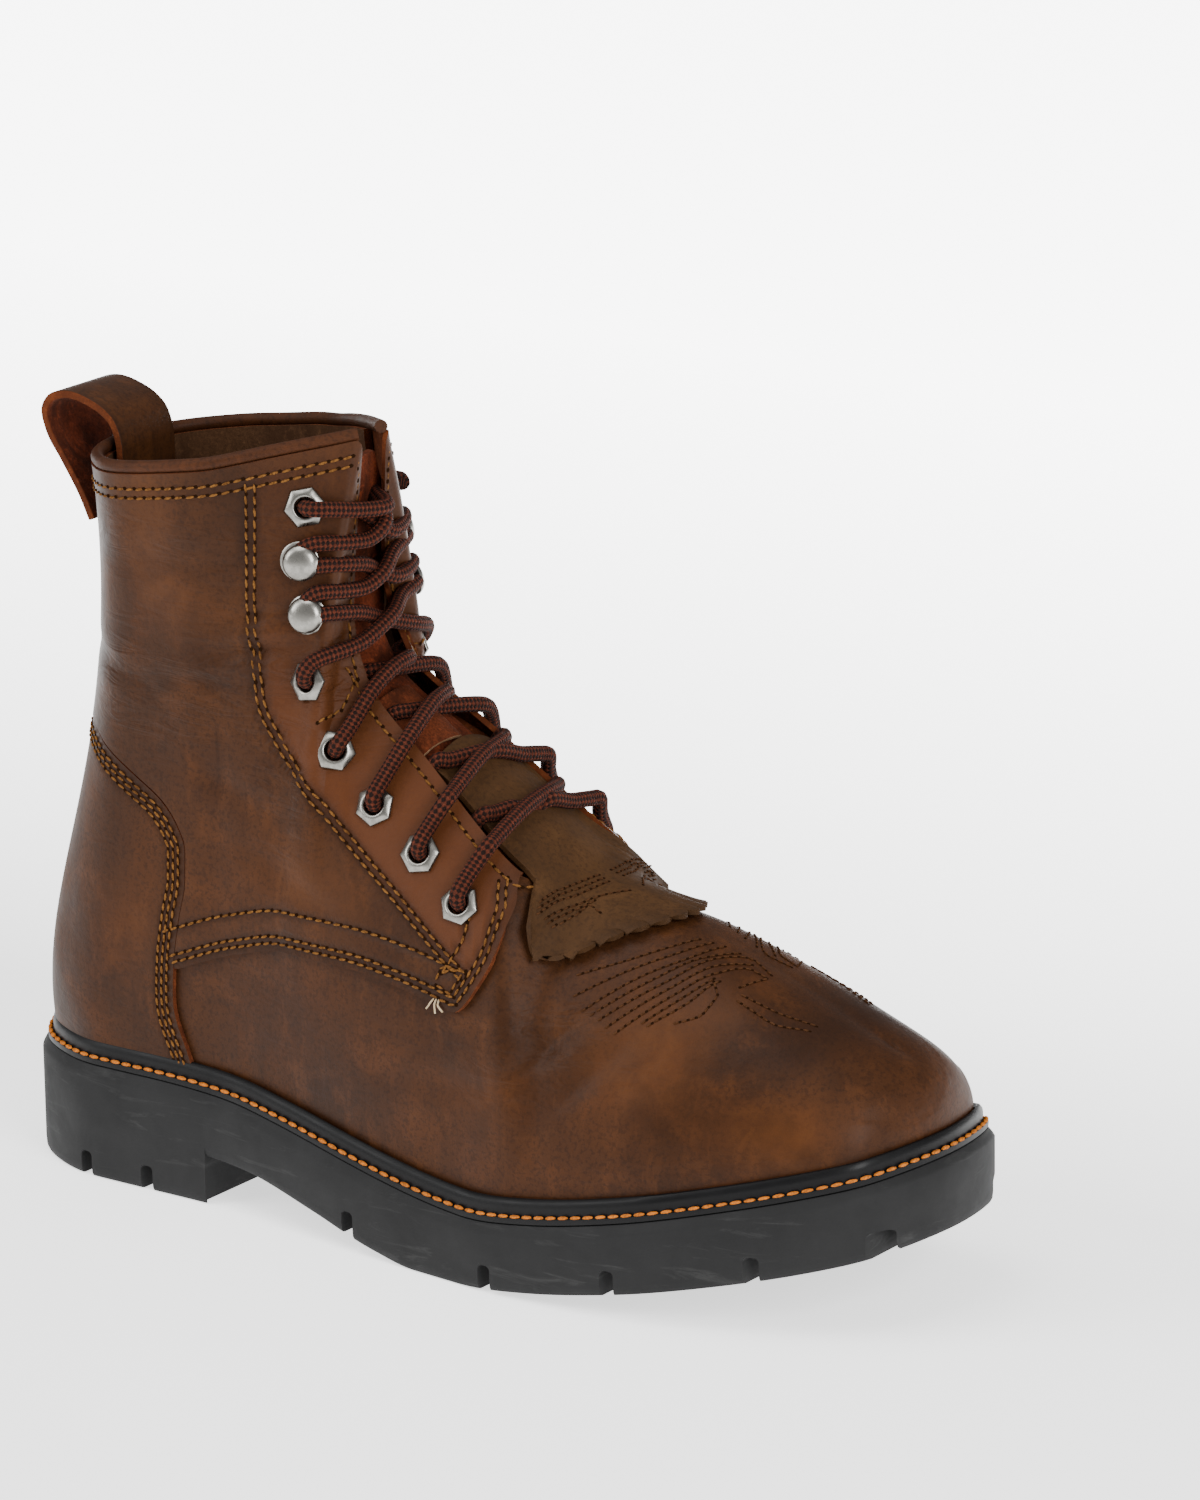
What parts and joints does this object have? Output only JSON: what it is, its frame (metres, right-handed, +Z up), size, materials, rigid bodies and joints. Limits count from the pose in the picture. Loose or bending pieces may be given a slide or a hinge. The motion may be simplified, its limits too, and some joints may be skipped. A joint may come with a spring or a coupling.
{
  "type": "kiltie work boot",
  "caption": "Ankle-high laced leather work boot for the right foot with a lug sole, storm welt, heel counter, pinked kiltie over the vamp, hex eyelets, lace hooks and a heel pull loop.",
  "frame": {"origin": "on the floor under the middle of the boot's box, the boot standing on its sole", "axes": "+X from the heel to the toe, +Y to the inner side of the foot, +Z up"},
  "size_m": [0.31, 0.102, 0.2297],
  "materials": {
    "oiled_leather": "oiled pull-up grain, mottled",
    "raw_edge_leather": "rolled binding",
    "dark_grain_leather": "dark oiled grain",
    "rust_suede": "suede nap",
    "black_rubber": "matte",
    "welt_rubber": "glossy",
    "nickel": "satin nickel plate",
    "brown_cord": "braided"
  },
  "bodies": {
    "root": {"outsole": "black_rubber", "welt": "welt_rubber", "insole": "rust_suede", "upper": "oiled_leather", "counter": "oiled_leather", "quarter_lateral": "oiled_leather", "quarter_medial": "oiled_leather", "back_strip": "oiled_leather", "collar_piping": "raw_edge_leather", "tongue": "rust_suede", "kiltie": "dark_grain_leather", "pull_loop": "oiled_leather", "eyelet_lateral_1": "nickel", "eyelet_lateral_2": "nickel", "eyelet_lateral_3": "nickel", "eyelet_lateral_4": "nickel", "eyelet_lateral_5": "nickel", "hook_lateral_6": "nickel", "hook_lateral_7": "nickel", "eyelet_lateral_8": "nickel", "eyelet_medial_1": "nickel", "eyelet_medial_2": "nickel", "eyelet_medial_3": "nickel", "eyelet_medial_4": "nickel", "eyelet_medial_5": "nickel", "hook_medial_6": "nickel", "hook_medial_7": "nickel", "eyelet_medial_8": "nickel", "lace_1": "brown_cord", "lace_2": "brown_cord", "lace_3": "brown_cord", "lace_4": "brown_cord", "lace_5": "brown_cord", "lace_6": "brown_cord", "lace_7": "brown_cord"}
  },
  "joints": []
}
